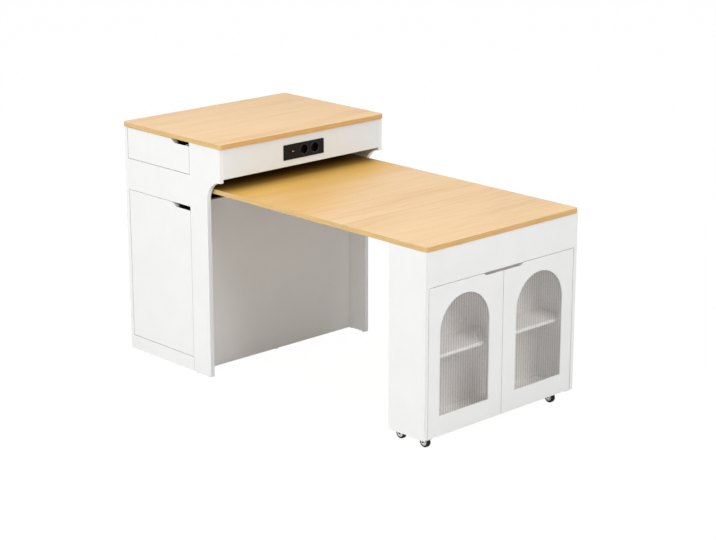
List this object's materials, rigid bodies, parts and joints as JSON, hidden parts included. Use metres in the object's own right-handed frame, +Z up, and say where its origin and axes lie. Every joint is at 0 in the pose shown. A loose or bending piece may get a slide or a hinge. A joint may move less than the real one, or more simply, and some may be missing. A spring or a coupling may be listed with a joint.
{
  "type": "kitchen island with pull-out table",
  "caption": "White kitchen island with an oak top, side drawers and cupboards, and an oak table that slides out on a rolling cabinet with arched glass doors.",
  "frame": {"origin": "on the floor, under the middle of the whole outline", "axes": "+X the way the table pulls out, +Y towards the island's far end, +Z up"},
  "size_m": [1.606, 0.825, 0.91],
  "materials": {
    "white_board": "satin white lacquer over smooth board",
    "dark_board": "raw dark pressed board round the table's bay",
    "oak": "light oak veneer with fine straight grain, satin",
    "pale_timber": "plain sanded timber",
    "beech": "plain sanded timber",
    "reeded_glass": "clear with fine upright reeds on the front",
    "black_plastic": "moulded, satin black",
    "grey_plastic": "moulded, matt, light grey",
    "steel": "zinc-plated, fine brushed",
    "tyre": "black tread on a light grey moulded hub"
  },
  "bodies": {
    "island": {"island_top": "oak", "side_panel_near": "white_board", "side_panel_far": "white_board", "back_panel": "white_board", "front_beam": "white_board", "bottom_panel": "white_board", "cupboard_top": "dark_board", "drawer_deck": "dark_board", "runner_panel": "dark_board", "cupboard_partition": "white_board", "recess_panel": "white_board", "cupboard_shelves": "white_board", "shelf_pins": "steel", "middle_panels": "white_board", "plinths": "white_board", "floor_glides": "grey_plastic", "door_pivot_pins": "steel", "drawer_rails": "steel", "outlet_plate": "black_plastic", "socket_inserts": "black_plastic", "outlet_box": "black_plastic", "slide_fixed_members": "steel"},
    "drawer_near": {"drawer_front_near": "white_board", "drawer_box_near": "white_board", "drawer_bottom_near": "white_board", "drawer_runners_near": "steel"},
    "drawer_far": {"drawer_front_far": "white_board", "drawer_box_far": "white_board", "drawer_bottom_far": "white_board", "drawer_runners_far": "steel"},
    "door_near": {"cupboard_door_near": "white_board"},
    "door_far": {"cupboard_door_far": "white_board"},
    "slide_middle": {"slide_middle_members": "steel"},
    "pull_out": {"table_leaf_outer": "oak", "table_leaf_inner": "oak", "table_rails": "pale_timber", "leaf_dowels": "beech", "slide_moving_members": "steel", "cabinet_sides": "white_board", "cabinet_back": "white_board", "cabinet_bottom": "white_board", "cabinet_ceiling": "white_board", "cabinet_shelf": "white_board", "cabinet_apron": "white_board", "glass_pivot_pins": "steel", "caster_plates": "steel"},
    "glass_door_near": {"glass_door_frame_near": "white_board", "glass_pane_near": "reeded_glass", "glass_beads_near": "white_board"},
    "glass_door_far": {"glass_door_frame_far": "white_board", "glass_pane_far": "reeded_glass", "glass_beads_far": "white_board"},
    "caster_front_near": {"caster_fork_front_near": "steel"},
    "wheel_front_near": {"caster_wheel_front_near": "tyre"},
    "caster_back_near": {"caster_fork_back_near": "steel"},
    "wheel_back_near": {"caster_wheel_back_near": "tyre"},
    "caster_front_far": {"caster_fork_front_far": "steel"},
    "wheel_front_far": {"caster_wheel_front_far": "tyre"},
    "caster_back_far": {"caster_fork_back_far": "steel"},
    "wheel_back_far": {"caster_wheel_back_far": "tyre"}
  },
  "joints": [
    {"name": "drawer_near_slide", "type": "slide", "parent": "island", "child": "drawer_near", "axis": [0, -1, 0], "range_m": [0, 0.26]},
    {"name": "drawer_far_slide", "type": "slide", "parent": "island", "child": "drawer_far", "axis": [0, 1, 0], "range_m": [0, 0.26]},
    {"name": "door_near_hinge", "type": "hinge", "parent": "island", "child": "door_near", "pos_m": [-0.7695, -0.4045, 0.353], "axis": [0, 0, -1], "range_deg": [0, 100]},
    {"name": "door_far_hinge", "type": "hinge", "parent": "island", "child": "door_far", "pos_m": [-0.7695, 0.4045, 0.353], "axis": [0, 0, 1], "range_deg": [0, 100]},
    {"name": "table_slide", "type": "slide", "parent": "island", "child": "pull_out", "axis": [1, 0, 0], "range_m": [-0.395, 0]},
    {"name": "middle_slide", "type": "slide", "parent": "island", "child": "slide_middle", "axis": [1, 0, 0], "range_m": [-0.1975, 0]},
    {"name": "glass_door_near_hinge", "type": "hinge", "parent": "pull_out", "child": "glass_door_near", "pos_m": [0.7945, -0.358, 0.3175], "axis": [0, 0, -1], "range_deg": [0, 100]},
    {"name": "glass_door_far_hinge", "type": "hinge", "parent": "pull_out", "child": "glass_door_far", "pos_m": [0.7945, 0.358, 0.3175], "axis": [0, 0, 1], "range_deg": [0, 100]},
    {"name": "caster_front_near_swivel", "type": "hinge", "parent": "pull_out", "child": "caster_front_near", "pos_m": [0.762, -0.3215, 0.046], "axis": [0, 0, 1], "continuous": true},
    {"name": "wheel_front_near_roll", "type": "hinge", "parent": "caster_front_near", "child": "wheel_front_near", "pos_m": [0.745, -0.3215, 0.02], "axis": [0, 1, 0], "continuous": true},
    {"name": "caster_back_near_swivel", "type": "hinge", "parent": "pull_out", "child": "caster_back_near", "pos_m": [0.647, -0.3215, 0.046], "axis": [0, 0, 1], "continuous": true},
    {"name": "wheel_back_near_roll", "type": "hinge", "parent": "caster_back_near", "child": "wheel_back_near", "pos_m": [0.63, -0.3215, 0.02], "axis": [0, 1, 0], "continuous": true},
    {"name": "caster_front_far_swivel", "type": "hinge", "parent": "pull_out", "child": "caster_front_far", "pos_m": [0.762, 0.3215, 0.046], "axis": [0, 0, 1], "continuous": true},
    {"name": "wheel_front_far_roll", "type": "hinge", "parent": "caster_front_far", "child": "wheel_front_far", "pos_m": [0.745, 0.3215, 0.02], "axis": [0, 1, 0], "continuous": true},
    {"name": "caster_back_far_swivel", "type": "hinge", "parent": "pull_out", "child": "caster_back_far", "pos_m": [0.647, 0.3215, 0.046], "axis": [0, 0, 1], "continuous": true},
    {"name": "wheel_back_far_roll", "type": "hinge", "parent": "caster_back_far", "child": "wheel_back_far", "pos_m": [0.63, 0.3215, 0.02], "axis": [0, 1, 0], "continuous": true}
  ],
  "couplings": [
    {"joint": "middle_slide", "follows": "table_slide", "ratio": 0.5}
  ]
}
